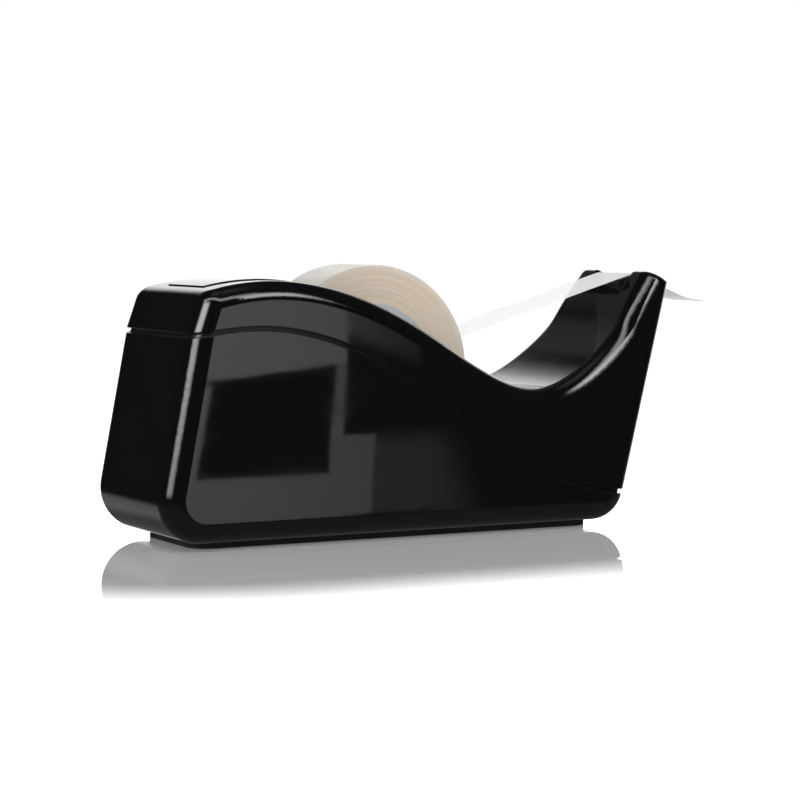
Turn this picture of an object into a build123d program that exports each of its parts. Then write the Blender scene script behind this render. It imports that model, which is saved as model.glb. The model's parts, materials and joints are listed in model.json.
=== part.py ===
"""Weighted desk tape dispenser: two-shell housing, roll on a spool hub, cutter between two ears.

Millimetres. +X runs from the roll towards the cutter, +Z is up, Y = 0 is the plane of symmetry.
The origin lies on the resting face, straight below the roll's axis.
"""
from math import atan, cos, radians, sin
import os

from build123d import *

os.makedirs("parts", exist_ok=True)

# ---------------------------------------------------------------- driving dimensions
# tape
tape_width = 19.0            # 3/4 inch
roll_radius = 29.0           # full 33 m roll
core_bore_radius = 12.7      # 1 inch core
core_wall = 1.8
core_gap = 0.05              # winding outside its core
roll_axis_z = 45.2

# housing, outside
pad_thickness = 1.8
half_width = 25.5            # straight rear part of the housing
ear_half_width = 17.5        # front face at the height block_top
side_taper_start_x = 6.0     # the sides are straight behind this
corner_radius = 5.6          # upright corners
top_edge_radius = 5.0
rear_foot_radius, front_foot_radius = 11.8, 10.0    # rear and front edges of the underside
wall = 2.4
block_top = 90.0             # height at which the upper plan outline is drawn
rear_foot_x, rear_slope = -71.05, 0.193         # base: X at Z = 0, and X gained per mm of height
cover_rear_foot_x, cover_rear_slope = -80.45, 0.356
front_foot_x, front_slope = 70.9, 0.304

# joint between the two shells
seam_gap = 1.4
lip_height = 2.0             # base lip above the cover's lower edge
lip_depth = 3.0              # and its root below the base's upper edge
lip_offset = 1.3             # lip's outer face, in from the housing's outer face
lip_clearance = 0.15

# crest, trough and ramp of the cover's top, seen from the side
wave_points = [(-57.5, 67.2), (-36.0, 70.5), (-11.0, 66.0), (12.0, 54.9), (28.5, 45.0), (45.5, 39.6),
               (61.4, 45.6), (72.4, 55.0)]
wave_start_direction = (1.0, 0.3)
ear_back = (81.3, 68.4)      # where the ramp meets the ears
ear_crest = (84.1, 72.35)
ear_top_slope = -0.55
ear_edge_radius = 2.0
roof_drop = 3.0              # cavity below the top line, measured upright

# seam line, seen from the side
seam_points = [(-64.0, 55.9), (-39.6, 58.0), (-18.6, 54.0), (0.0, 45.1), (17.8, 32.9), (32.9, 23.0),
               (48.4, 15.6), (64.0, 10.9), (80.0, 8.9)]
seam_start_direction, seam_end_direction = (1.0, 0.12), (1.0, -0.1)

# channel insert and the roll's well
channel_clearance = 0.4      # beside each flange
insert_wall = 1.2
insert_groove = 0.4          # open line round the insert
insert_rise = 0.3            # insert stands above the rails by this
insert_rear_x = -51.5
well_clearance = 2.5         # round the full roll
well_floor = 1.8
deck_thickness = 2.4
deck_recess_z = 62.0         # bottom of the cover's opening under the deck
lug_reach, lug_half_width, lug_thickness = 8.0, 6.0, 2.4

# spool hub
flange_radius = 18.4
flange_thickness = 0.6
web_thickness = 1.6
hub_clearance = 0.15         # spigot inside the core
spigot_wall = 1.6
spigot_gap = 0.4             # between the two halves
stub_radius = 3.0
stub_clearance = 0.08
stub_end_clearance = 0.1
axle_socket_wall = 1.5
axle_reach = 5.0             # right axle past the middle, inside the left socket

# ears and cutter
ear_gap_clearance = 1.0      # between the ears, beside the tape
notch_floor_z = 62.4
notch_rear_x = 79.0
holder_clearance = 0.2
rib_count, rib_width, rib_height = 5, 1.0, 0.9
rib_gap = 0.2                # ribs below the leader
blade_setback = 7.45         # blade behind the front face
blade_thickness = 0.5
blade_foot_gap = 0.4
blade_seat_gap = 0.02        # blade to its holder
tooth_count, tooth_height = 15, 1.1
tooth_gap = 0.05
rivet_radius, rivet_head_radius, rivet_head_height = 0.9, 1.7, 0.5
rivet_spacing = 12.0
rivet_length = 2.2           # in the holder
rivet_clearance = 0.1
rivet_up_blade = 3.4

# leader and free tail
strip_thickness = 0.25
leader_angle = 17.5          # where the leader leaves the roll, above the horizontal
leader_start_gap = 0.4
leader_crest_z = 71.2
leader_crest_radius = 2.0
tail_lengths = (19.1, 8.6)   # down from the crest, then levelling out
tail_drop_angles = (22.4, 8.7)
tail_bend_radius = 20.0

# ballast
ballast_half_width = 17.0
ballast_rear_x, ballast_front_x = -56.5, 61.0
ballast_top_z = 24.0
ballast_clearance = 0.3
ballast_corner = 3.0

# screws
screw_radius, screw_head_radius, screw_head_height = 1.5, 2.9, 1.6
screw_hole_clearance = 0.2
pilot_gap = 0.02             # thread to its hole
pilot_extra_depth = 1.0
screw_edge = 0.4
boss_wall = 1.3
post_radius = 3.2
post_gap = 0.2               # post above its boss
ballast_screw_length = 12.0
insert_screw_length = 9.0
# name: (place, seat height of the head, height where post meets boss, screw length)
cover_screws = {
    "rear_left": ((-49.0, -14.0), 16.0, 24.0, 18.0),
    "rear_right": ((-49.0, 14.0), 16.0, 24.0, 18.0),
    "front_left": ((56.0, -14.0), 10.0, 17.0, 14.0),
    "front_right": ((56.0, 14.0), 10.0, 17.0, 14.0),
}
ballast_screws = {"rear": (-44.0, 0.0), "front": (48.0, 0.0)}

# pad
pad_rear_x, pad_front_x, pad_half_width, pad_corner = -56.9, 65.4, 18.0, 6.0

# ---------------------------------------------------------------- worked-out places
far = 200.0                                 # past everything
floor_top_z = pad_thickness + wall
well_radius = roll_radius + well_clearance
channel_half_width = tape_width / 2 + flange_thickness + channel_clearance
ear_gap_half = tape_width / 2 + ear_gap_clearance
insert_half_width = channel_half_width + insert_wall
insert_end_x = well_radius + well_floor
opening_half_width = insert_half_width + insert_groove
core_radius = core_bore_radius + core_wall
spigot_radius = core_bore_radius - hub_clearance
stub_end = insert_half_width - stub_end_clearance
boss_bore = screw_head_radius + screw_hole_clearance
boss_radius = boss_bore + boss_wall
screw_clear_radius = screw_radius + screw_hole_clearance
pilot_radius = screw_radius + pilot_gap
ballast_screw_seat_z = pad_thickness + screw_head_height
lug_end_x = insert_end_x + lug_reach
lug_screw_x = insert_end_x + lug_reach / 2
roll_axis = Plane(origin=(0, 0, roll_axis_z), x_dir=(1, 0, 0), z_dir=(0, -1, 0))

def front_x(z, setback=0.0):
    """X of the front face at height z, or of a plane set back from it."""
    return front_foot_x + front_slope * z - setback


leader_start = ((roll_radius + leader_start_gap) * cos(radians(leader_angle)),
                roll_axis_z + (roll_radius + leader_start_gap) * sin(radians(leader_angle)))
leader_crest = (front_x(leader_crest_z, blade_setback + blade_thickness / 2), leader_crest_z)
leader_slope = (leader_crest[1] - leader_start[1]) / (leader_crest[0] - leader_start[0])
leader_route = [leader_start, leader_crest]
for length, angle in zip(tail_lengths, tail_drop_angles):
    leader_route.append((leader_route[-1][0] + length * cos(radians(angle)),
                         leader_route[-1][1] - length * sin(radians(angle))))
front_lean = atan(front_slope)
blade_half_width = ear_gap_half - holder_clearance
blade_foot_z = notch_floor_z + blade_foot_gap
blade_plane = Plane(origin=(front_x(blade_foot_z, blade_setback), 0, blade_foot_z), x_dir=(0, 1, 0),
                    z_dir=(cos(front_lean), 0, -sin(front_lean)))
blade_tip = (leader_crest_z - strip_thickness - tooth_gap - blade_foot_z) / cos(front_lean)
tooth_pitch = 2 * blade_half_width / tooth_count
holder_top_drop = strip_thickness / 2 + rib_gap + rib_height


def leader_z(x):
    """Height of the leader's middle at x."""
    return leader_crest[1] + leader_slope * (x - leader_crest[0])


# ---------------------------------------------------------------- shared shapes
def housing_block(inset=0.0, for_cover=False, round_front=True, round_rear=True):
    """The housing's plan outline, lofted from the underside to above the ears."""
    foot_x = cover_rear_foot_x if for_cover else rear_foot_x
    slope = cover_rear_slope if for_cover else rear_slope
    side = half_width - inset
    bottom_z = pad_thickness + inset
    with BuildPart() as block:
        for z, half_front in ((bottom_z, half_width - inset), (block_top, ear_half_width - inset)):
            rear = foot_x + slope * z + inset
            front = front_x(z, inset)
            middle = (side_taper_start_x + front) / 2
            with BuildSketch(Plane.XY.offset(z)) as outline:
                with BuildLine():
                    Line((rear, -side), (rear, side))
                    Line((rear, side), (side_taper_start_x, side))
                    Bezier((side_taper_start_x, side), (middle, side), (front, half_front))
                    Line((front, half_front), (front, -half_front))
                    Bezier((front, -half_front), (middle, -side), (side_taper_start_x, -side))
                    Line((side_taper_start_x, -side), (rear, -side))
                make_face()
                rear_corners, *_, front_corners = outline.vertices().group_by(Axis.X)
                corners = (rear_corners if round_rear else []) + (front_corners if round_front else [])
                if corners:
                    fillet(corners, corner_radius - inset)
        loft(ruled=True)
    return block.part


def wave_prism(drop=0.0):
    """Everything below the cover's top line lowered by drop, with the ramp run on past the ears."""
    with BuildPart() as below:
        with BuildSketch(Plane.XZ):
            with BuildLine():
                rise = Vector(*ear_crest) - Vector(*ear_back)
                ramp_end = Vector(ear_back[0], ear_back[1] - drop)
                points = [(x, z - drop) for x, z in wave_points]
                wave = Spline(*points, ramp_end, tangents=[wave_start_direction, rise])
                beyond = ramp_end + rise * (far / rise.length)
                Polyline(ramp_end, beyond, (beyond.X, -far), (-far, -far), (-far, (wave @ 0).Y), wave @ 0)
            make_face()
        extrude(amount=far / 2, both=True)
    return below.part


def above_ears():
    """Everything above the ears' sloping top."""
    with BuildPart() as above:
        with BuildSketch(Plane.XZ):
            with BuildLine():
                run = far - ear_crest[0]
                Polyline((notch_rear_x, far), (notch_rear_x, ear_crest[1]), ear_crest,
                         (far, ear_crest[1] + ear_top_slope * run), (far, far), close=True)
            make_face()
        extrude(amount=far / 2, both=True)
    return above.part


def seam_prism(shift):
    """Everything below the seam line, which is moved up by shift."""
    with BuildPart() as below:
        with BuildSketch(Plane.XZ):
            with BuildLine():
                points = [(x, z + shift) for x, z in seam_points]
                seam = Spline(*points, tangents=[seam_start_direction, seam_end_direction])
                end = seam @ 1
                Polyline(end, (far, end.Y), (far, -far), (-far, -far), (-far, (seam @ 0).Y), seam @ 0)
            make_face()
        extrude(amount=far / 2, both=True)
    return below.part


def make_screw(place, seat_z, length, way):
    """Screw whose head bears at seat_z; way is 1 where its shank points up and -1 where it points down."""
    with BuildPart() as screw:
        with BuildSketch(Plane.XY.offset(seat_z)):
            with Locations(place):
                Circle(screw_head_radius)
        extrude(amount=-way * screw_head_height)
        with BuildSketch(Plane.XY.offset(seat_z)):
            with Locations(place):
                Circle(screw_radius)
        extrude(amount=way * length)
        head_rim = screw.edges().group_by(Axis.Z)[0 if way > 0 else -1]
        chamfer(head_rim, screw_edge)
        tip_rim = screw.edges().group_by(Axis.Z)[-1 if way > 0 else 0]
        chamfer(tip_rim, screw_edge)
    return screw.part


def save(piece, name):
    """Labels a finished piece and writes it as its own STEP file."""
    piece.label = name
    export_step(piece, f"parts/{name}.step")


# ---------------------------------------------------------------- top cover
with BuildPart() as cover_form:
    add(housing_block(for_cover=True, round_front=False))
    add(wave_prism(), mode=Mode.INTERSECT)
    top_faces = cover_form.faces().filter_by(lambda f: f.normal_at().Z > 0.5)
    rim = top_faces.edges().filter_by(lambda e: abs(e.center().Y) > 1 and e.center().X < ear_crest[0] + 3)
    fillet(rim, top_edge_radius)
    add(above_ears(), mode=Mode.SUBTRACT)
    add(housing_block(for_cover=True), mode=Mode.INTERSECT)
    fillet(cover_form.faces().sort_by(Axis.Z)[-1].edges(), ear_edge_radius)

with BuildPart() as cover_cavity:
    add(housing_block(wall, for_cover=True))
    add(wave_prism(roof_drop), mode=Mode.INTERSECT)
    with Locations((notch_rear_x - wall, 0, notch_floor_z - wall)):
        Box(far, far, far, align=(Align.MIN, Align.CENTER, Align.MIN), mode=Mode.SUBTRACT)

with BuildPart() as lip_rebate:
    add(housing_block(lip_offset - lip_clearance, for_cover=True))
    add(seam_prism(seam_gap / 2 + lip_height + lip_clearance), mode=Mode.INTERSECT)

with BuildPart() as screw_posts:
    for place, seat_z, meet_z, length in cover_screws.values():
        with BuildSketch(Plane.XY.offset(meet_z)):
            with Locations(place):
                Circle(post_radius)
        extrude(amount=far)
    add(wave_prism(roof_drop / 2), mode=Mode.INTERSECT)
    for place, seat_z, meet_z, length in cover_screws.values():
        with BuildSketch(Plane.XY.offset(meet_z)):
            with Locations(place):
                Circle(pilot_radius)
        extrude(amount=seat_z + length + pilot_extra_depth - meet_z, mode=Mode.SUBTRACT)

with BuildPart() as top_cover:
    add(cover_form)
    add(seam_prism(seam_gap / 2), mode=Mode.SUBTRACT)
    add(cover_cavity, mode=Mode.SUBTRACT)
    add(lip_rebate, mode=Mode.SUBTRACT)
    add(screw_posts)
    # opening for the channel insert: deep over the well, shallow under its deck
    with Locations((-insert_end_x - insert_groove, 0, pad_thickness)):
        Box(2 * (insert_end_x + insert_groove), 2 * opening_half_width, far,
            align=(Align.MIN, Align.CENTER, Align.MIN), mode=Mode.SUBTRACT)
    with Locations((insert_rear_x - insert_groove, 0, deck_recess_z)):
        Box(well_radius, 2 * opening_half_width, far,
            align=(Align.MIN, Align.CENTER, Align.MIN), mode=Mode.SUBTRACT)
    # notch between the ears
    with Locations((notch_rear_x, 0, notch_floor_z)):
        Box(far, 2 * ear_gap_half, far, align=(Align.MIN, Align.CENTER, Align.MIN), mode=Mode.SUBTRACT)

save(top_cover.part, "top_cover")

# ---------------------------------------------------------------- base shell
def rounded_block(inset=0.0):
    """The base's outside, or its cavity where inset is the wall, with every lower edge rounded."""
    with BuildPart() as block:
        add(housing_block(inset, round_front=False, round_rear=False))
        for place, radius in ((0, rear_foot_radius), (-1, front_foot_radius)):
            across = block.edges().filter_by(Axis.Y).group_by(Axis.Z)[0].sort_by(Axis.X)
            fillet(across[place], radius - inset)
        sides = block.faces().filter_by(lambda f: abs(f.normal_at().Y) > 0.9)
        outline = sides.edges().filter_by(lambda e: e.center().Z < block_top - 1)
        seams = outline.filter_by(lambda e: abs(e.center().X - side_taper_start_x) < 1)
        fillet([e for e in outline if e not in seams], corner_radius - inset)
    return block.part


with BuildPart() as lip:
    add(housing_block(lip_offset, for_cover=True))
    add(seam_prism(seam_gap / 2 + lip_height), mode=Mode.INTERSECT)
    add(seam_prism(-seam_gap / 2 - lip_depth), mode=Mode.SUBTRACT)
    add(housing_block(wall, for_cover=True), mode=Mode.SUBTRACT)

with BuildPart() as base_shell:
    add(rounded_block())
    add(seam_prism(-seam_gap / 2), mode=Mode.INTERSECT)
    add(rounded_block(wall), mode=Mode.SUBTRACT)
    add(lip)
    for place, seat_z, meet_z, length in cover_screws.values():
        with BuildSketch(Plane.XY.offset(pad_thickness)):
            with Locations(place):
                Circle(boss_radius)
        extrude(amount=meet_z - post_gap - pad_thickness)
        with BuildSketch(Plane.XY.offset(pad_thickness)):
            with Locations(place):
                Circle(boss_bore)
        extrude(amount=seat_z - pad_thickness, mode=Mode.SUBTRACT)
        with BuildSketch(Plane.XY.offset(seat_z)):
            with Locations(place):
                Circle(screw_clear_radius)
        extrude(amount=meet_z - seat_z, mode=Mode.SUBTRACT)
    for place in ballast_screws.values():
        with BuildSketch(Plane.XY.offset(pad_thickness)):
            with Locations(place):
                Circle(boss_bore)
        extrude(amount=screw_head_height, mode=Mode.SUBTRACT)
        with BuildSketch(Plane.XY.offset(pad_thickness)):
            with Locations(place):
                Circle(screw_clear_radius)
        extrude(amount=wall, mode=Mode.SUBTRACT)

save(base_shell.part, "base_shell")

# ---------------------------------------------------------------- anti-slip pad
with BuildPart() as anti_slip_pad:
    with BuildSketch():
        with Locations(((pad_rear_x + pad_front_x) / 2, 0)):
            RectangleRounded(pad_front_x - pad_rear_x, 2 * pad_half_width, pad_corner)
    extrude(amount=pad_thickness)

save(anti_slip_pad.part, "anti_slip_pad")

# ---------------------------------------------------------------- ballast
with BuildPart() as ballast_block:
    with BuildSketch(Plane.XY.offset(floor_top_z)):
        with Locations(((ballast_rear_x + ballast_front_x) / 2, 0)):
            RectangleRounded(ballast_front_x - ballast_rear_x, 2 * ballast_half_width, ballast_corner)
    extrude(amount=ballast_top_z - floor_top_z)
    with BuildSketch(roll_axis):
        Circle(insert_end_x + ballast_clearance)
    extrude(amount=far, both=True, mode=Mode.SUBTRACT)
    for place, seat_z, meet_z, length in cover_screws.values():
        with BuildSketch(Plane.XY.offset(floor_top_z)):
            with Locations(place):
                Circle(boss_radius + ballast_clearance)
        extrude(amount=far, mode=Mode.SUBTRACT)
    for place in ballast_screws.values():
        with BuildSketch(Plane.XY.offset(floor_top_z)):
            with Locations(place):
                Circle(pilot_radius)
        extrude(amount=ballast_screw_length - wall + screw_head_height + pilot_extra_depth,
                mode=Mode.SUBTRACT)
    with BuildSketch(Plane.XY.offset(ballast_top_z)):
        with Locations((-lug_screw_x, 0), (lug_screw_x, 0)):
            Circle(pilot_radius)
    extrude(amount=-(insert_screw_length - lug_thickness + pilot_extra_depth), mode=Mode.SUBTRACT)

save(ballast_block.part, "ballast_block")

# ---------------------------------------------------------------- channel insert
with BuildPart() as channel_insert:
    with Locations((insert_rear_x, 0, roll_axis_z)):
        Box(-well_radius - insert_rear_x, 2 * insert_half_width, far,
            align=(Align.MIN, Align.CENTER, Align.MIN))
    add(wave_prism(deck_thickness), mode=Mode.SUBTRACT)
    with BuildSketch(roll_axis):
        Circle(insert_end_x)
        Rectangle(2 * insert_end_x, far, align=(Align.CENTER, Align.MIN))
    extrude(amount=insert_half_width, both=True)
    with Locations((0, 0, ballast_top_z)):
        Box(2 * lug_end_x, 2 * lug_half_width, lug_thickness, align=(Align.CENTER, Align.CENTER, Align.MIN))
    add(wave_prism(-insert_rise), mode=Mode.INTERSECT)
    with BuildSketch(roll_axis):
        Circle(well_radius)
        Rectangle(2 * well_radius, far, align=(Align.CENTER, Align.MIN))
    extrude(amount=channel_half_width, both=True, mode=Mode.SUBTRACT)
    # open-topped slots that the axle stubs drop into
    with BuildSketch(roll_axis):
        Circle(stub_radius + stub_clearance)
        Rectangle(2 * (stub_radius + stub_clearance), far, align=(Align.CENTER, Align.MIN))
    extrude(amount=insert_half_width, both=True, mode=Mode.SUBTRACT)
    with BuildSketch(Plane.XY.offset(ballast_top_z)):
        with Locations((-lug_screw_x, 0), (lug_screw_x, 0)):
            Circle(screw_clear_radius)
    extrude(amount=lug_thickness, mode=Mode.SUBTRACT)

save(channel_insert.part, "channel_insert")

# ---------------------------------------------------------------- screws
for name, (place, seat_z, meet_z, length) in cover_screws.items():
    save(make_screw(place, seat_z, length, 1), f"cover_screw_{name}")
for name, place in ballast_screws.items():
    save(make_screw(place, ballast_screw_seat_z, ballast_screw_length, 1), f"ballast_screw_{name}")
for name, x in (("rear", -lug_screw_x), ("front", lug_screw_x)):
    insert_screw = make_screw((x, 0.0), ballast_top_z + lug_thickness, insert_screw_length, -1)
    save(insert_screw, f"insert_screw_{name}")

# ---------------------------------------------------------------- spool hub
hub_left_face = Plane(origin=(0, -tape_width / 2, roll_axis_z), x_dir=(1, 0, 0), z_dir=(0, -1, 0))
hub_right_face = Plane(origin=(0, tape_width / 2, roll_axis_z), x_dir=(-1, 0, 0), z_dir=(0, 1, 0))
socket_radius = stub_radius + hub_clearance
socket_outer_radius = socket_radius + axle_socket_wall

with BuildPart() as hub_left:
    with BuildSketch(hub_left_face):
        Circle(flange_radius)
    extrude(amount=flange_thickness)
    with BuildSketch(hub_left_face):
        Circle(spigot_radius)
    extrude(amount=-(tape_width - spigot_gap) / 2)
    with BuildSketch(hub_left_face.offset(-web_thickness)):
        Circle(spigot_radius - spigot_wall)
        Circle(socket_outer_radius, mode=Mode.SUBTRACT)
    extrude(amount=-tape_width, mode=Mode.SUBTRACT)
    with BuildSketch(hub_left_face.offset(-web_thickness)):
        Circle(socket_radius)
    extrude(amount=-tape_width, mode=Mode.SUBTRACT)
    with BuildSketch(hub_left_face):
        Circle(stub_radius)
    extrude(amount=stub_end - tape_width / 2)

with BuildPart() as hub_right:
    with BuildSketch(hub_right_face):
        Circle(flange_radius)
    extrude(amount=flange_thickness)
    with BuildSketch(hub_right_face):
        Circle(spigot_radius)
    extrude(amount=-(tape_width - spigot_gap) / 2)
    with BuildSketch(hub_right_face.offset(-web_thickness)):
        Circle(spigot_radius - spigot_wall)
    extrude(amount=-tape_width, mode=Mode.SUBTRACT)
    with BuildSketch(hub_right_face.offset(stub_end - tape_width / 2)):
        Circle(stub_radius)
    extrude(amount=-(stub_end + axle_reach))

save(hub_left.part, "hub_left")
save(hub_right.part, "hub_right")

# ---------------------------------------------------------------- tape
with BuildPart() as tape_core:
    with BuildSketch(roll_axis):
        Circle(core_radius)
        Circle(core_bore_radius, mode=Mode.SUBTRACT)
    extrude(amount=tape_width / 2, both=True)

with BuildPart() as tape_roll:
    with BuildSketch(roll_axis):
        Circle(roll_radius)
        Circle(core_radius + core_gap, mode=Mode.SUBTRACT)
    extrude(amount=tape_width / 2, both=True)

save(tape_core.part, "tape_core")
save(tape_roll.part, "tape_roll")

with BuildPart() as tape_leader:
    with BuildLine(Plane.XZ) as leader_line:
        FilletPolyline(*leader_route, radius=[leader_crest_radius, tail_bend_radius])
    with BuildSketch(Plane(origin=leader_line.line @ 0, x_dir=(0, 1, 0), z_dir=leader_line.line % 0)):
        Rectangle(tape_width, strip_thickness)
    sweep()
    # torn along the cutter's teeth
    with BuildSketch(Plane.XY):
        with BuildLine():
            tail_end_x = leader_route[-1][0]
            zigzag = [(tail_end_x - (tooth_height if n % 2 else 0.0), (n - tooth_count) * tooth_pitch / 2)
                      for n in range(2 * tooth_count + 1)]
            Polyline(*zigzag, (far, zigzag[-1][1]), (far, zigzag[0][1]), close=True)
        make_face()
    extrude(amount=far, mode=Mode.SUBTRACT)

save(tape_leader.part, "tape_leader")

# ---------------------------------------------------------------- cutter
def holder_profile(raised):
    """Corners of the cutter holder seen from the side, with its sloping top raised."""
    rear = notch_rear_x + holder_clearance
    setback = blade_setback + (blade_thickness + blade_seat_gap) / cos(front_lean)
    front_z = leader_z(front_x(leader_crest_z, setback)) - holder_top_drop
    rear_z = leader_z(rear) - holder_top_drop
    return [(rear, notch_floor_z), (front_x(notch_floor_z, setback), notch_floor_z),
            (front_x(front_z, setback), front_z + raised), (rear, rear_z + raised)]


with BuildPart() as cutter_holder:
    with BuildSketch(Plane.XZ):
        with BuildLine():
            Polyline(*holder_profile(0.0), close=True)
        make_face()
    extrude(amount=blade_half_width, both=True)
    for n in range(rib_count):
        rib_y = (n / (rib_count - 1) - 0.5) * (2 * blade_half_width - rib_width)
        with BuildSketch(Plane.XZ.offset(-rib_y)):
            with BuildLine():
                Polyline(*holder_profile(rib_height), close=True)
            make_face()
        extrude(amount=rib_width / 2, both=True)
    with BuildSketch(blade_plane.offset(-blade_thickness)):
        with Locations((-rivet_spacing / 2, rivet_up_blade), (rivet_spacing / 2, rivet_up_blade)):
            Circle(rivet_radius + rivet_clearance)
    extrude(amount=-rivet_length, mode=Mode.SUBTRACT)

with BuildPart() as cutter_blade:
    with BuildSketch(blade_plane):
        with BuildLine():
            teeth = [(blade_half_width - n * tooth_pitch / 2, blade_tip - (0.0 if n % 2 else tooth_height))
                     for n in range(2 * tooth_count + 1)]
            Polyline((-blade_half_width, 0), (blade_half_width, 0), *teeth, close=True)
        make_face()
        with Locations((-rivet_spacing / 2, rivet_up_blade), (rivet_spacing / 2, rivet_up_blade)):
            Circle(rivet_radius + rivet_clearance, mode=Mode.SUBTRACT)
    extrude(amount=-blade_thickness)

save(cutter_holder.part, "cutter_holder")
save(cutter_blade.part, "cutter_blade")

for name, y in (("left", -rivet_spacing / 2), ("right", rivet_spacing / 2)):
    with BuildPart() as blade_rivet:
        with BuildSketch(blade_plane):
            with Locations((y, rivet_up_blade)):
                Circle(rivet_head_radius)
        extrude(amount=rivet_head_height)
        fillet(blade_rivet.faces().filter_by(lambda f: f.area > 1).sort_by(Axis.X)[-1].edges(),
               rivet_head_height * 0.8)
        with BuildSketch(blade_plane):
            with Locations((y, rivet_up_blade)):
                Circle(rivet_radius)
        extrude(amount=-(blade_thickness + rivet_length - rivet_clearance))
    save(blade_rivet.part, f"blade_rivet_{name}")
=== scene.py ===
"""The looks of a weighted desk tape dispenser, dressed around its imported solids.

Metres, in the part's own frame: +X runs from the roll to the cutter, +Z is up, and Y = 0 is the plane of
symmetry. Materials come first, then the two pieces that stand for solids, then the studio.
"""
import json
import math
import random

import bmesh
import bpy
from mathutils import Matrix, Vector


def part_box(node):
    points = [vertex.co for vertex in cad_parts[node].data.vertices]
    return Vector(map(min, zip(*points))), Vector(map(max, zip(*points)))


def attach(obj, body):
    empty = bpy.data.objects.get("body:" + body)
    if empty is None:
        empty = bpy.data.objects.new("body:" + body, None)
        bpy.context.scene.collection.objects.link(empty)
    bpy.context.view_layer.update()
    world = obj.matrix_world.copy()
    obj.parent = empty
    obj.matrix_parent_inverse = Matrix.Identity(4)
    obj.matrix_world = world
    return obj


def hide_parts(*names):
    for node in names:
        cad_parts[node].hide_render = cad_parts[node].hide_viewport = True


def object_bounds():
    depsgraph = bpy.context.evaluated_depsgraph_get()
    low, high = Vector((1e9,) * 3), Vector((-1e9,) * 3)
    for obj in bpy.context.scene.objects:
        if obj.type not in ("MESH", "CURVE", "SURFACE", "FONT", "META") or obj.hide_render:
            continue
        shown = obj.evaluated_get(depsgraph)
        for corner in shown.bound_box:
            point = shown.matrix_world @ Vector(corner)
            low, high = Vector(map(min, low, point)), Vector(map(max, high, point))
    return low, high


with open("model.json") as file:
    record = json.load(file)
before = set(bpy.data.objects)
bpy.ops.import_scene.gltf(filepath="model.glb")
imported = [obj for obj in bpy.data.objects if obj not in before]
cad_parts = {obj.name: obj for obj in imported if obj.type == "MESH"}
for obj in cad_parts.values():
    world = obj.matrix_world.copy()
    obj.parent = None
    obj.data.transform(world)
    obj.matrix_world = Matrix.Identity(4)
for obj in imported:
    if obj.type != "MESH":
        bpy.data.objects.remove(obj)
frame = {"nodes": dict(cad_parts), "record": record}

for leftover in ("Cube", "Camera", "Light"):
    if leftover in bpy.data.objects:
        bpy.data.objects.remove(bpy.data.objects[leftover])
cad_low, cad_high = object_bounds()
MM = 0.001

# ---------------------------------------------------------------- places read from the frame
roll_low, roll_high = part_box("tape_roll")
core_low, core_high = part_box("tape_core")
pad_low, pad_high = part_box("anti_slip_pad")
AXIS_Z = (roll_low.z + roll_high.z) / 2
ROLL_RADIUS = (roll_high.z - roll_low.z) / 2
ROLL_HALF_WIDTH = roll_high.y
CORE_RADIUS = (core_high.z - core_low.z) / 2


def new_object(name, data):
    thing = bpy.data.objects.new(name, data)
    bpy.context.scene.collection.objects.link(thing)
    return thing


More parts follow.
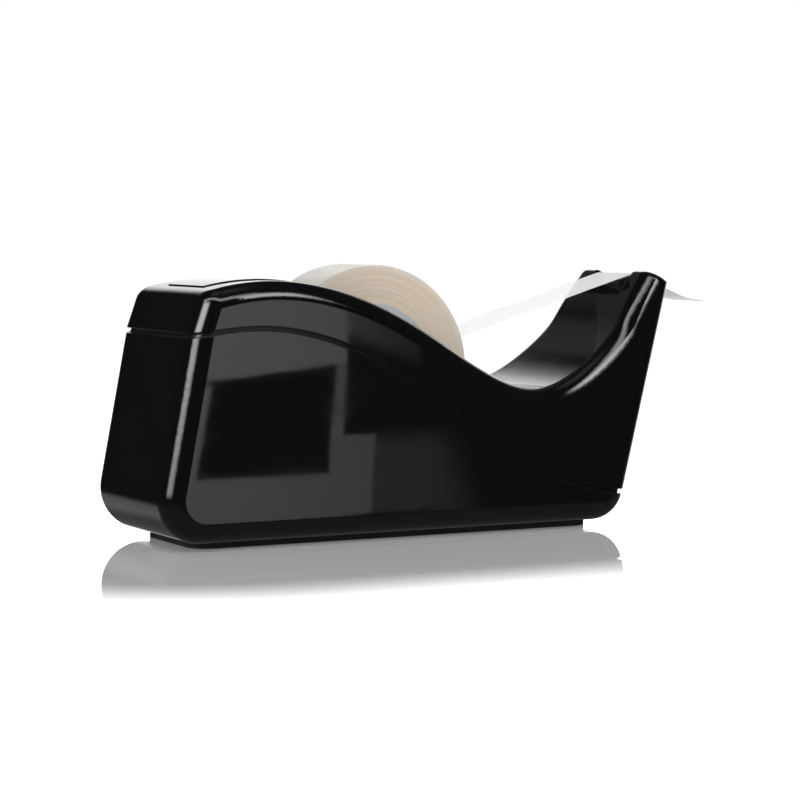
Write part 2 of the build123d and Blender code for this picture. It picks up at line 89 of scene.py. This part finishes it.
# ---------------------------------------------------------------- node helpers
class Nodes:
    """Short calls for building one node tree. A value is a number, a tuple or another node's socket."""

    def __init__(self, tree):
        self.tree = tree
        tree.nodes.clear()

    def add(self, kind, **settings):
        node = self.tree.nodes.new(kind)
        for name, value in settings.items():
            setattr(node, name, value)
        return node

    def put(self, socket, value):
        """Links value into the socket if it is a socket, and otherwise sets it there."""
        if isinstance(value, bpy.types.NodeSocket):
            self.tree.links.new(value, socket)
        else:
            socket.default_value = value

    def math(self, operation, a, b=0.0):
        node = self.add("ShaderNodeMath", operation=operation)
        self.put(node.inputs[0], a)
        self.put(node.inputs[1], b)
        return node.outputs[0]

    def ramp(self, value, low, high, to_low=0.0, to_high=1.0):
        """Runs smoothly from to_low where value is low, to to_high where it is high, and stays so beyond."""
        node = self.add("ShaderNodeMapRange", interpolation_type="SMOOTHSTEP")
        for name, number in (("Value", value), ("From Min", low), ("From Max", high),
                             ("To Min", to_low), ("To Max", to_high)):
            self.put(node.inputs[name], number)
        return node.outputs["Result"]

    def mix(self, factor, a, b):
        """The colour a where factor is 0, and b where it is 1."""
        node = self.add("ShaderNodeMix", data_type="RGBA")
        self.put(node.inputs["Factor"], factor)
        for name, colour in (("A", a), ("B", b)):
            if not isinstance(colour, bpy.types.NodeSocket):
                colour = (*colour, 1.0)
            self.put(node.inputs[name], colour)
        return node.outputs["Result"]

    def parts(self, vector):
        """The vector's X, Y and Z."""
        node = self.add("ShaderNodeSeparateXYZ")
        self.put(node.inputs["Vector"], vector)
        return tuple(node.outputs)

    def vector(self, x=0.0, y=0.0, z=0.0):
        node = self.add("ShaderNodeCombineXYZ")
        for socket, value in zip(node.inputs, (x, y, z)):
            self.put(socket, value)
        return node.outputs["Vector"]

    def length(self, vector):
        node = self.add("ShaderNodeVectorMath", operation="LENGTH")
        self.put(node.inputs[0], vector)
        return node.outputs["Value"]

    def place(self, stretch=(1.0, 1.0, 1.0), centre=(0.0, 0.0, 0.0)):
        """The point on the piece at rest, from centre, stretched along each axis."""
        node = self.add("ShaderNodeMapping", vector_type="TEXTURE")
        self.put(node.inputs["Vector"], self.add("ShaderNodeTexCoord").outputs["Object"])
        self.put(node.inputs["Location"], centre)
        self.put(node.inputs["Scale"], stretch)
        return node.outputs["Vector"]

    def noise(self, size, place=None, detail=2.0, roughness=0.5):
        """Noise whose blobs are about size metres across."""
        node = self.add("ShaderNodeTexNoise")
        self.put(node.inputs["Vector"], place or self.place())
        self.put(node.inputs["Scale"], 1.0 / size)
        self.put(node.inputs["Detail"], detail)
        self.put(node.inputs["Roughness"], roughness)
        return node.outputs["Fac"]

    def bump(self, height, depth, normal=None):
        """A normal dented by height, from 0 to 1, times depth in metres."""
        node = self.add("ShaderNodeBump")
        self.put(node.inputs["Height"], height)
        self.put(node.inputs["Distance"], depth)
        if normal:
            self.put(node.inputs["Normal"], normal)
        return node.outputs["Normal"]

    def soft_edge(self, radius):
        """A normal that rounds sharp edges by radius."""
        node = self.add("ShaderNodeBevel", samples=6)
        self.put(node.inputs["Radius"], radius)
        return node.outputs["Normal"]

    def shader(self, kind, **sockets):
        node = self.add(kind)
        for name, value in sockets.items():
            self.put(node.inputs[name.replace("_", " ")], value)
        return node.outputs[0]

    def join(self, kind, *values):
        """A node that adds or mixes shaders, with its inputs in their order."""
        node = self.add(kind)
        for socket, value in zip(node.inputs, values):
            self.put(socket, value)
        return node.outputs[0]

    def show(self, shader, output="ShaderNodeOutputMaterial"):
        self.put(self.add(output).inputs["Surface"], shader)

    def finish(self, **sockets):
        """The surface is a Principled shader with these sockets."""
        self.show(self.shader("ShaderNodeBsdfPrincipled", **sockets))


def new_material(name):
    material = bpy.data.materials.new(name)
    material.use_nodes = True
    return material, Nodes(material.node_tree)


# ---------------------------------------------------------------- materials
WHITE = (1.0, 1.0, 1.0, 1.0)
SHELL_BLACK, INSERT_BLACK = (0.0026, 0.0026, 0.003), (0.0035, 0.0035, 0.0037)
STEEL_GREY, STEEL_PALE = (0.5, 0.5, 0.51), (0.72, 0.72, 0.73)
ZINC_BLUE, ZINC_STRAW = (0.46, 0.47, 0.5), (0.62, 0.61, 0.57)
IRON_BLACK, IRON_BROWN = (0.07, 0.07, 0.072), (0.13, 0.115, 0.1)
RUBBER_BLACK, RUBBER_DUST = (0.012, 0.012, 0.012), (0.03, 0.029, 0.028)
HUB_BLUE, HUB_PALE = (0.42, 0.45, 0.48), (0.52, 0.55, 0.58)
CARD_BROWN, CARD_TAN = (0.36, 0.28, 0.2), (0.6, 0.52, 0.42)
WINDING_WARM, WINDING_PALE = (0.66, 0.53, 0.4), (0.7, 0.6, 0.48)
WINDING_SHADE, WINDING_GREY, WINDING_RIM = (0.5, 0.41, 0.32), (0.6, 0.55, 0.48), (0.72, 0.69, 0.64)
SKIN_WARM, SKIN_PALE = (0.5, 0.47, 0.41), (0.6, 0.58, 0.55)
FILM_TONE, FILM_PALE = (0.9, 0.9, 0.89), (0.95, 0.95, 0.95)
FILM_COVER = (0.16, 0.55)        # how much the film hides, seen face on and along its face
MIDDLE = (0.3, 0.7)              # most of a noise's values lie between these


def gloss_black(name, tone, polish, edge):
    """Polished moulded plastic: near black, a faint mould ripple and smears that dull the gloss a little.

    polish is the least and the most roughness away from grooves, and edge is the radius of its sharp edges.
    """
    paler, dust_roughness, groove_reach = 1.7, 0.6, 2.0 * MM
    material, n = new_material(name)
    cloud = n.noise(22 * MM, detail=3.0)
    smears = n.noise(9 * MM, n.place(stretch=(3.0, 1.0, 1.0)), detail=4.0, roughness=0.6)
    ripple = n.noise(9 * MM, detail=0.0)
    # narrow grooves hold dust, so they don't shine
    groove = n.add("ShaderNodeAmbientOcclusion", samples=6)
    n.put(groove.inputs["Distance"], groove_reach)
    dust = n.ramp(groove.outputs["AO"], 0.45, 0.75, dust_roughness, 0.0)
    n.finish(Base_Color=n.mix(cloud, tone, tuple(paler * c for c in tone)),
             Roughness=n.math("ADD", n.ramp(smears, 0.4, 0.8, *polish), dust),
             Normal=n.bump(ripple, 0.002 * MM, n.soft_edge(edge)))
    return material


def satin_steel(name):
    """Ground steel, its grain along Y."""
    material, n = new_material(name)
    grain = n.noise(0.9 * MM, n.place(stretch=(0.06, 3.0, 0.06)), detail=3.0)
    n.finish(Base_Color=n.mix(grain, STEEL_GREY, STEEL_PALE), Metallic=1.0,
             Roughness=n.ramp(grain, *MIDDLE, 0.16, 0.32),
             Normal=n.bump(grain, 0.01 * MM, n.soft_edge(0.08 * MM)))
    return material


def zinc(name):
    """Zinc plate, mottled from blue-grey to straw."""
    material, n = new_material(name)
    mottle = n.noise(1.4 * MM, detail=4.0)
    n.finish(Base_Color=n.mix(mottle, ZINC_BLUE, ZINC_STRAW), Metallic=1.0,
             Roughness=n.ramp(mottle, *MIDDLE, 0.2, 0.4),
             Normal=n.bump(mottle, 0.01 * MM, n.soft_edge(0.1 * MM)))
    return material


def cast_iron(name):
    """Gritty cast iron, stained in patches."""
    material, n = new_material(name)
    grit = n.noise(0.7 * MM, detail=5.0, roughness=0.65)
    stain = n.noise(14 * MM, detail=3.0)
    n.finish(Base_Color=n.mix(stain, IRON_BLACK, IRON_BROWN), Metallic=0.6,
             Roughness=n.ramp(grit, 0.2, 0.8, 0.45, 0.75), Normal=n.bump(grit, 0.12 * MM))
    return material


def foam_rubber(name):
    """Black foam with half-millimetre cells and a little dust."""
    cell = 0.5 * MM
    material, n = new_material(name)
    cells = n.add("ShaderNodeTexVoronoi", feature="DISTANCE_TO_EDGE")
    n.put(cells.inputs["Vector"], n.place())
    n.put(cells.inputs["Scale"], 1 / cell)
    dust = n.noise(9 * MM, detail=4.0)
    n.finish(Base_Color=n.mix(dust, RUBBER_BLACK, RUBBER_DUST), Roughness=0.9,
             Normal=n.bump(cells.outputs["Distance"], 0.08 * MM))
    return material


def hub_plastic(name):
    """Blue-grey moulded plastic with a fine spark-eroded texture."""
    material, n = new_material(name)
    grain = n.noise(0.25 * MM)
    cloud = n.noise(8 * MM)
    n.finish(Base_Color=n.mix(cloud, HUB_BLUE, HUB_PALE),
             Roughness=n.ramp(grain, *MIDDLE, 0.34, 0.48),
             Normal=n.bump(grain, 0.012 * MM, n.soft_edge(0.12 * MM)))
    return material


def wound_card(name):
    """A card tube, its fibres along Y."""
    material, n = new_material(name)
    fibre = n.noise(0.5 * MM, n.place(stretch=(1.0, 5.0, 1.0)), detail=5.0, roughness=0.65)
    n.finish(Base_Color=n.mix(fibre, CARD_BROWN, CARD_TAN), Roughness=0.85, Normal=n.bump(fibre, 0.05 * MM))
    return material


def winding(name):
    """Clear tape wound on itself: tan end faces ringed by its layers, and a shinier, greyer outside."""
    material, n = new_material(name)
    place = n.place(centre=(0.0, 0.0, AXIS_Z))
    x, _, z = n.parts(place)
    radius = n.length(n.vector(x, 0.0, z))
    rings = n.vector(radius)         # noise read here changes along the radius alone
    fine = n.noise(0.22 * MM, rings)
    broad = n.noise(1.9 * MM, rings)
    cloud = n.noise(13 * MM, place, detail=3.0)
    sheen = n.noise(6 * MM, n.place(stretch=(1.0, 4.0, 1.0)), detail=3.0)
    # the rings are darkest, and the face palest, near the rim
    near_rim = n.ramp(radius, 0.8 * ROLL_RADIUS, 0.97 * ROLL_RADIUS, 0.25, 1.0)
    rim = n.ramp(radius, ROLL_RADIUS - 2.2 * MM, ROLL_RADIUS - 0.2 * MM, 0.0, 0.45)
    outside = n.ramp(radius, ROLL_RADIUS - 0.16 * MM, ROLL_RADIUS - 0.1 * MM)
    face = n.mix(n.ramp(broad, *MIDDLE, 0.25, 0.75), WINDING_WARM, WINDING_PALE)
    face = n.mix(n.math("MULTIPLY", n.ramp(fine, 0.4, 0.75, 0.0, 0.6), near_rim), face, WINDING_SHADE)
    face = n.mix(n.ramp(cloud, 0.3, 0.75, 0.0, 0.5), face, WINDING_GREY)
    face = n.mix(rim, face, WINDING_RIM)
    skin = n.mix(n.ramp(sheen, *MIDDLE), SKIN_WARM, SKIN_PALE)
    ridges = n.math("MULTIPLY", fine, n.math("SUBTRACT", 1.0, outside))
    n.finish(Base_Color=n.mix(outside, face, skin), Roughness=n.ramp(outside, 0.0, 1.0, 0.5, 0.32),
             Normal=n.bump(ridges, 0.03 * MM), Subsurface_Weight=0.12,
             Subsurface_Radius=(0.004, 0.003, 0.002), Subsurface_Scale=0.4)
    return material


def film(name):
    """Frosted clear tape: faint face on, and whiter the flatter it is seen."""
    material, n = new_material(name)
    streak = n.noise(2.4 * MM, n.place(stretch=(7.0, 1.0, 7.0)), detail=3.0)
    grain = n.noise(0.16 * MM, detail=1.0)
    graze = n.add("ShaderNodeLayerWeight")
    n.put(graze.inputs["Blend"], 0.5)
    n.finish(Base_Color=n.mix(streak, FILM_TONE, FILM_PALE), Roughness=n.ramp(streak, *MIDDLE, 0.3, 0.45),
             Alpha=n.ramp(graze.outputs["Facing"], 0.15, 0.85, *FILM_COVER),
             Normal=n.bump(grain, 0.004 * MM))
    return material


MATERIALS = {
    "black_shell": gloss_black("shell_gloss", SHELL_BLACK, polish=(0.02, 0.04), edge=0.3 * MM),
    "black_insert": gloss_black("insert_gloss", INSERT_BLACK, polish=(0.08, 0.16), edge=0.2 * MM),
    "blade_steel": satin_steel("blade_satin"),
    "hub_plastic": hub_plastic("hub_grain"),
    "core_card": wound_card("core_fibre"),
    "tape_winding": winding("winding_rings"),
    "tape_film": film("film_frosted"),
    "ballast_iron": cast_iron("ballast_cast"),
    "pad_rubber": foam_rubber("pad_foam"),
    "screw_steel": zinc("screw_zinc"),
}


def dress(piece, slot):
    piece.data.materials.clear()
    piece.data.materials.append(MATERIALS[slot])


def dress_solids():
    """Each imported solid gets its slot's finish."""
    for row in frame["record"]["subparts"]:
        dress(frame["nodes"][row["node"]], row["material_slot"])


# ---------------------------------------------------------------- pieces
def piece_from(bm, name, slot, sharp):
    """A smooth piece, but for its edges that turn by more than sharp degrees."""
    mesh = bpy.data.meshes.new(name)
    bmesh.ops.recalc_face_normals(bm, faces=bm.faces)
    bm.to_mesh(mesh)
    bm.free()
    piece = new_object(name, mesh)
    for face in mesh.polygons:
        face.use_smooth = True
    mesh.set_sharp_from_angle(angle=math.radians(sharp))
    dress(piece, slot)
    return piece


ROLL_RINGS, ROLL_TURNS = 46, 220      # steps across each end face, and facets round the roll
ROLL_SLIP = 0.06 * MM                 # how far a layer slipped inwards at most
SLIP_SEED = 7
ROLL_CORNER = 0.08 * MM
BORE_GAP, SKIN_GAP = 0.05 * MM, 0.02 * MM      # beyond the core, and inside the solid's outside


def roll_section():
    """The winding cut along its axis: (radius, y) points, up one end face and down the other."""
    draw = random.Random(SLIP_SEED)
    bore, outer = CORE_RADIUS + BORE_GAP, ROLL_RADIUS - SKIN_GAP
    ends = []
    for side in (-1, 1):
        end = []
        for k in range(ROLL_RINGS):
            radius = bore + (outer - ROLL_CORNER - bore) * k / (ROLL_RINGS - 1)
            end.append((radius, side * (ROLL_HALF_WIDTH - ROLL_SLIP * draw.random())))
        ends.append(end)
    left, right = ends
    edge = ROLL_HALF_WIDTH - ROLL_CORNER
    return left + [(outer, -edge), (outer, edge)] + right[::-1]


def wound_roll():
    """The wound tape: a ring whose end faces step in and out by hairs, where layers slipped while winding."""
    section = roll_section()
    bm = bmesh.new()
    loops = []
    for turn in range(ROLL_TURNS):
        angle = 2 * math.pi * turn / ROLL_TURNS
        c, s = math.cos(angle), math.sin(angle)
        loops.append([bm.verts.new((radius * c, y, AXIS_Z + radius * s)) for radius, y in section])
    for turn, here in enumerate(loops):
        there = loops[(turn + 1) % ROLL_TURNS]
        for k in range(len(section)):
            after = (k + 1) % len(section)
            bm.faces.new((here[k], here[after], there[after], there[k]))
    roll = piece_from(bm, "wound_tape", "tape_winding", sharp=40)
    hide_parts("tape_roll")
    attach(roll, "spool")


LEADER_ANGLE = math.radians(17.5)     # where the film leaves the roll
CREST = (84.84 * MM, 71.13 * MM)      # x and z over the cutter's teeth
TAIL = ((19.1 * MM, math.radians(22.4)), (8.6 * MM, math.radians(8.7)))     # each stretch's length and fall
FILM_BENDS = (1.6 * MM, 18.0 * MM)    # radius over the teeth, and between the tail's stretches
FILM_STEP = 1.6 * MM
BEND_STEPS, END_STEPS = 8, 6


def go_straight(line, end, steps):
    start = line[-1]
    line += [start.lerp(end, (s + 1) / steps) for s in range(steps)]


def film_line():
    """The film's middle line, seen from the side, as closely spaced points."""
    start = (ROLL_RADIUS * math.cos(LEADER_ANGLE), AXIS_Z + ROLL_RADIUS * math.sin(LEADER_ANGLE))
    corners = [start, CREST]
    for length, fall in TAIL:
        x, z = corners[-1]
        corners.append((x + length * math.cos(fall), z - length * math.sin(fall)))
    corners = [Vector(corner) for corner in corners]
    line = [corners[0]]
    for radius, before, corner, after in zip(FILM_BENDS, corners, corners[1:], corners[2:]):
        way_in, way_out = (corner - before).normalized(), (after - corner).normalized()
        reach = radius * math.tan(way_in.angle(way_out) / 2)
        first, last = corner - way_in * reach, corner + way_out * reach
        go_straight(line, first, max(2, int((first - line[-1]).length / FILM_STEP)))
        for step in range(1, BEND_STEPS + 1):
            t = step / BEND_STEPS
            line.append(first * (1 - t) ** 2 + corner * 2 * t * (1 - t) + last * t ** 2)
    go_straight(line, corners[-1], END_STEPS)
    return line


FILM_THICKNESS = 0.06 * MM
FILM_COLUMNS = 60
FILM_EDGE_GAP = 0.02 * MM             # between the film's edge and the solid's
TEETH, BITE = 15, 1.1 * MM            # the torn end's teeth and their depth
FREE_SHARE = 0.69                     # the share of the line that runs free, from the roll to the teeth
DISH, RIPPLE = 0.28 * MM, 0.05 * MM
RIPPLE_ACROSS, RIPPLE_ALONG = 9.0, 21.0        # radians over half the width, and over the whole length


def film_face(bm, line, lift):
    """One face of the film, lift above its middle line: a row of points across it for each line point."""
    half, end = ROLL_HALF_WIDTH - FILM_EDGE_GAP, len(line) - 1
    total = sum((b - a).length for a, b in zip(line, line[1:]))
    rows, walked = [], 0.0
    for k, point in enumerate(line):
        along = (line[min(k + 1, end)] - line[max(k - 1, 0)]).normalized()
        up = Vector((-along.y, along.x))
        walked += (point - line[max(k - 1, 0)]).length
        share = walked / total
        loose = math.sin(math.pi * min(share / FREE_SHARE, 1.0)) ** 2
        row = []
        for j in range(FILM_COLUMNS + 1):
            w = 2 * j / FILM_COLUMNS - 1
            dish = -DISH * loose * (1 - w * w)
            ripple = RIPPLE * math.sin(RIPPLE_ACROSS * w + RIPPLE_ALONG * share) * loose
            here = point + up * (lift + dish + ripple)
            if k == end:
                here -= along * BITE * abs((w + 1) / 2 * TEETH % 1.0 - 0.5) * 2
            row.append(bm.verts.new((here.x, w * half, here.y)))
        rows.append(row)
    return rows


def tape_strip():
    """The free film from the roll over the teeth to its torn end, faintly dished and rippled across."""
    line = film_line()
    bm = bmesh.new()
    top, under = [film_face(bm, line, side * FILM_THICKNESS / 2) for side in (1, -1)]
    for k in range(len(line) - 1):
        for j in range(FILM_COLUMNS):
            bm.faces.new((top[k][j], top[k][j + 1], top[k + 1][j + 1], top[k + 1][j]))
            bm.faces.new((under[k][j], under[k + 1][j], under[k + 1][j + 1], under[k][j + 1]))
        for j in (0, FILM_COLUMNS):
            bm.faces.new((top[k][j], top[k + 1][j], under[k + 1][j], under[k][j]))
    for k in (0, -1):
        for j in range(FILM_COLUMNS):
            bm.faces.new((top[k][j], top[k][j + 1], under[k][j + 1], under[k][j]))
    strip = piece_from(bm, "tape_strip", "tape_film", sharp=50)
    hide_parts("tape_leader")
    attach(strip, "leader")


# ---------------------------------------------------------------- camera
CAMERA_TURN, CAMERA_TILT = math.radians(27.72), math.radians(3.96)
CAMERA_PLACE = (-0.3233, -0.6407, 0.0862)
CAMERA_LENS, CAMERA_SENSOR = 116.5, 36.0


def look(thing, way):
    """Turns a camera or a lamp to face way."""
    thing.rotation_mode = "QUATERNION"
    thing.rotation_quaternion = way.to_track_quat("-Z", "Y")


def make_camera():
    data = bpy.data.cameras.new("camera")
    data.lens, data.sensor_width = CAMERA_LENS, CAMERA_SENSOR
    camera = new_object("camera", data)
    camera.location = CAMERA_PLACE
    level = math.cos(CAMERA_TILT)
    way = (math.sin(CAMERA_TURN) * level, math.cos(CAMERA_TURN) * level, -math.sin(CAMERA_TILT))
    look(camera, Vector(way))
    bpy.context.scene.camera = camera


# ---------------------------------------------------------------- cards and lamps
def make_card(name, corners, glow, fade):
    """A glowing four-cornered card that only mirror-like surfaces see.

    corners run lower left, lower right, upper right, upper left, and glow gives the brightness at each.
    fade is the share of the card over which it dims towards its left, right, lower and upper edge.
    """
    mesh = bpy.data.meshes.new(name)
    mesh.from_pydata(corners, [], [(0, 1, 2, 3)])
    layer = mesh.uv_layers.new(name="span")
    for corner, uv in zip(layer.data, ((0, 0), (1, 0), (1, 1), (0, 1))):
        corner.uv = uv
    levels = mesh.attributes.new("glow", "FLOAT", "POINT")
    for level, value in zip(levels.data, glow):
        level.value = value
    card = new_object(name, mesh)
    card.visible_camera = card.visible_diffuse = card.visible_shadow = card.visible_transmission = False
    material, n = new_material(name)
    u, v, _ = n.parts(n.add("ShaderNodeTexCoord").outputs["UV"])
    strength = n.add("ShaderNodeAttribute", attribute_name="glow").outputs["Fac"]
    for along, (near, far) in ((u, fade[:2]), (v, fade[2:])):
        if near:
            strength = n.math("MULTIPLY", strength, n.ramp(along, 0.0, near))
        if far:
            strength = n.math("MULTIPLY", strength, n.ramp(along, 1.0, 1.0 - far))
    shine = n.shader("ShaderNodeEmission", Strength=strength)
    n.show(n.join("ShaderNodeAddShader", shine, n.shader("ShaderNodeBsdfTransparent")))
    mesh.materials.append(material)


# cards 3 m away that face the origin: azimuth, elevation, width and height in degrees, seen from there, the
# glow at their left and right, and the fade
CARD_DISTANCE = 3.0
AIMED_CARDS = {
    "backdrop": (52.0, 8.0, 80.0, 56.0, (1.35, 1.35), (0.23, 0.23, 0.28, 0.28)),
    "corner_strip": (-159.0, 21.0, 48.0, 46.0, (10.5, 10.5), (0.4, 0.4, 0.5, 0.3)),
    "ear_strip": (-125.0, 57.0, 92.0, 24.0, (6.5, 3.5), (0.15, 0.15, 0.45, 0.45)),
    "ear_low": (-75.0, 46.0, 24.0, 20.0, (2.2, 0.5), (0.2, 0.2, 0.4, 0.4)),
    "ramp_dim": (95.0, 31.0, 26.0, 14.0, (0.12, 0.12), (0.2, 0.3, 0.3, 0.3)),
    "foot_glow": (104.0, -16.0, 26.0, 16.0, (0.3, 0.3), (0.3, 0.3, 0.4, 0.3)),
    "overhead": (0.0, 88.0, 40.0, 40.0, (0.35, 0.35), (0.4, 0.4, 0.4, 0.4)),
}

# one more in the same terms, but seen from the near rail's crest, and close to it so that it shines in that
# rail alone
RIM_CARD_DISTANCE = 0.45
RIM_CREST = Vector((-0.035, cad_low.y, 0.067))
RIM_CARD = (-59.0, 30.0, 20.0, 30.0, (9.0, 9.0), (0.1, 0.5, 0.45, 0.5))

# cards on an upright board, 3 m to the near side, that the flat side mirrors: the x and z of each corner in
# metres, the glow at each corner, and the fade
BOARD_LEFT, BOARD_TOP = 1.138, 0.40
TOP_RIGHT, BLOCK_TOP, BLOCK_FOOT = 1.471, -0.246, -0.304
SIDE_CARDS = {
    "side_top": (((BOARD_LEFT, -0.166), (TOP_RIGHT, -0.134), (TOP_RIGHT, BOARD_TOP),
                  (BOARD_LEFT, BOARD_TOP)),
                 (1.6, 1.25, 1.1, 2.7), (0, 0, 0, 0.5)),
    "side_shelf": (((TOP_RIGHT, -0.105), (1.64, -0.165), (1.64, BOARD_TOP), (TOP_RIGHT, BOARD_TOP)),
                   (0.55, 0.03, 0.03, 0.6), (0, 0.3, 0.05, 0.5)),
    "side_left": (((BOARD_LEFT, BLOCK_FOOT), (1.214, BLOCK_FOOT), (1.242, -0.163), (BOARD_LEFT, -0.166)),
                  (1.3, 1.3, 1.5, 1.5), (0, 0, 0, 0)),
    "side_bar": (((1.442, BLOCK_TOP), (1.464, BLOCK_TOP), (TOP_RIGHT, -0.134), (1.454, -0.136)),
                 (1.0, 1.0, 1.0, 1.0), (0, 0, 0, 0)),
    "side_block": (((1.439, BLOCK_FOOT), (1.516, BLOCK_FOOT), (1.521, BLOCK_TOP), (1.442, BLOCK_TOP)),
                   (0.9, 0.85, 0.85, 0.9), (0, 0, 0, 0)),
    "side_low": (((BOARD_LEFT, -0.391), (1.511, -0.370), (1.516, BLOCK_FOOT), (BOARD_LEFT, BLOCK_FOOT)),
                 (1.2, 0.85, 0.85, 1.25), (0, 0, 0, 0)),
    "side_dim": (((1.511, -0.37), (1.80, -0.37), (1.80, -0.23), (1.521, -0.23)),
                 (0.3, 0.25, 0.25, 0.3), (0, 0.6, 0, 0.3)),
}

# azimuth and elevation in degrees, distance and side in metres, and power in watts
LAMPS = {
    "key": (-140.0, 50.0, 1.2, 0.7, 8.0),
    "fill": (-40.0, 35.0, 1.4, 0.9, 4.0),
}


def direction(azimuth, elevation):
    """Unit vector; azimuth is measured from +X towards +Y, in degrees."""
    a, e = math.radians(azimuth), math.radians(elevation)
    return Vector((math.cos(a) * math.cos(e), math.sin(a) * math.cos(e), math.sin(e)))


def aim_card(name, distance, target, azimuth, elevation, width, height, glow, fade):
    """A card that faces target from a distance, placed and sized by angles seen from there."""
    way = direction(azimuth, elevation)
    across = Vector((0, 0, 1)).cross(way).normalized()
    up = way.cross(across)
    half_width, half_height = (distance * math.tan(math.radians(angle) / 2) for angle in (width, height))
    corners = [target + way * distance + across * half_width * x + up * half_height * z
               for x, z in ((-1, -1), (1, -1), (1, 1), (-1, 1))]
    left, right = glow
    make_card(name, corners, (left, right, right, left), fade)


def make_cards():
    for name, settings in AIMED_CARDS.items():
        aim_card(name, CARD_DISTANCE, Vector(), *settings)
    aim_card("rim_glow", RIM_CARD_DISTANCE, RIM_CREST, *RIM_CARD)
    for name, (outline, glow, fade) in SIDE_CARDS.items():
        make_card(name, [(x, -CARD_DISTANCE, z) for x, z in outline], glow, fade)


def make_lamp(name, azimuth, elevation, distance, side, power):
    """A square lamp that faces the origin and isn't seen in reflections."""
    data = bpy.data.lights.new(name, "AREA")
    data.size, data.energy = side, power
    lamp = new_object(name, data)
    lamp.location = direction(azimuth, elevation) * distance
    look(lamp, -lamp.location)
    lamp.visible_glossy = lamp.visible_camera = False


# ---------------------------------------------------------------- floor and room
FLOOR_HALF = 6.0
FLOOR_GLOW, FLOOR_TONE = 0.56, 0.85
MIRROR_SHARE = 0.77                   # how much of the floor right beside the object is its reflection
MIRROR_REACH = (60 * MM, 115 * MM)    # how far from its foot that starts to fade, and where it ends
ROOM_LIGHT = 0.55                     # on matt surfaces
ROOM_DARK = 0.015                     # what gloss sees above the horizon
ROOM_FLOOR = 0.13                     # and below it
HORIZON = (-0.35, -0.08)              # the direction's z, where the one turns into the other


def from_foot(n):
    """How far a point of the floor lies outside the pad's footprint."""
    x, y, _ = n.parts(n.place(centre=tuple((pad_low + pad_high) / 2)))
    half_length, half_width, _ = (pad_high - pad_low) / 2
    beyond = [n.math("MAXIMUM", n.math("SUBTRACT", n.math("ABSOLUTE", along), half), 0.0)
              for along, half in ((x, half_length), (y, half_width))]
    return n.length(n.vector(*beyond))


def make_floor():
    """A white sheet that takes the object's soft shadow and, near its foot, mirrors it to the camera."""
    mesh = bpy.data.meshes.new("floor")
    corners = [(x * FLOOR_HALF, y * FLOOR_HALF, 0.0) for x, y in ((-1, -1), (1, -1), (1, 1), (-1, 1))]
    mesh.from_pydata(corners, [], [(0, 1, 2, 3)])
    floor = new_object("floor", mesh)
    material, n = new_material("floor_sheet")
    matt = n.shader("ShaderNodeBsdfDiffuse", Color=(FLOOR_TONE, FLOOR_TONE, FLOOR_TONE, 1.0))
    white = n.join("ShaderNodeAddShader", matt, n.shader("ShaderNodeEmission", Strength=FLOOR_GLOW))
    mirror = n.shader("ShaderNodeBsdfGlossy", Color=WHITE, Roughness=0.0)
    share = n.ramp(from_foot(n), *MIRROR_REACH, MIRROR_SHARE, 0.0)
    seen = n.join("ShaderNodeMixShader", share, white, mirror)
    to_camera = n.add("ShaderNodeLightPath").outputs["Is Camera Ray"]
    n.show(n.join("ShaderNodeMixShader", to_camera, matt, seen))
    mesh.materials.append(material)
    floor.visible_glossy = False


def make_room():
    """White to the camera; a dim studio to mirrors; even soft light to everything else."""
    world = bpy.data.worlds.new("room")
    bpy.context.scene.world = world
    world.use_nodes = True
    n = Nodes(world.node_tree)
    _, _, z = n.parts(n.add("ShaderNodeTexCoord").outputs["Generated"])
    sheen = n.ramp(z, *HORIZON, ROOM_FLOOR, ROOM_DARK)
    path = n.add("ShaderNodeLightPath").outputs
    level = n.math("MULTIPLY", path["Is Glossy Ray"], n.math("SUBTRACT", sheen, ROOM_LIGHT))
    level = n.math("ADD", level, ROOM_LIGHT)
    # the floor mirrors without blur, so its rays alone are singular, and they see white as well
    shown = n.math("MAXIMUM", path["Is Camera Ray"], path["Is Transmission Ray"])
    shown = n.math("MAXIMUM", shown, path["Is Singular Ray"])
    level = n.math("ADD", level, n.math("MULTIPLY", shown, n.math("SUBTRACT", 1.0, level)))
    n.show(n.shader("ShaderNodeBackground", Color=WHITE, Strength=level), output="ShaderNodeOutputWorld")


def make_studio():
    make_camera()
    make_room()
    make_floor()
    make_cards()
    for name, settings in LAMPS.items():
        make_lamp(name, *settings)
    bpy.context.scene.view_settings.view_transform = "Standard"


dress_solids()
wound_roll()
tape_strip()
make_studio()
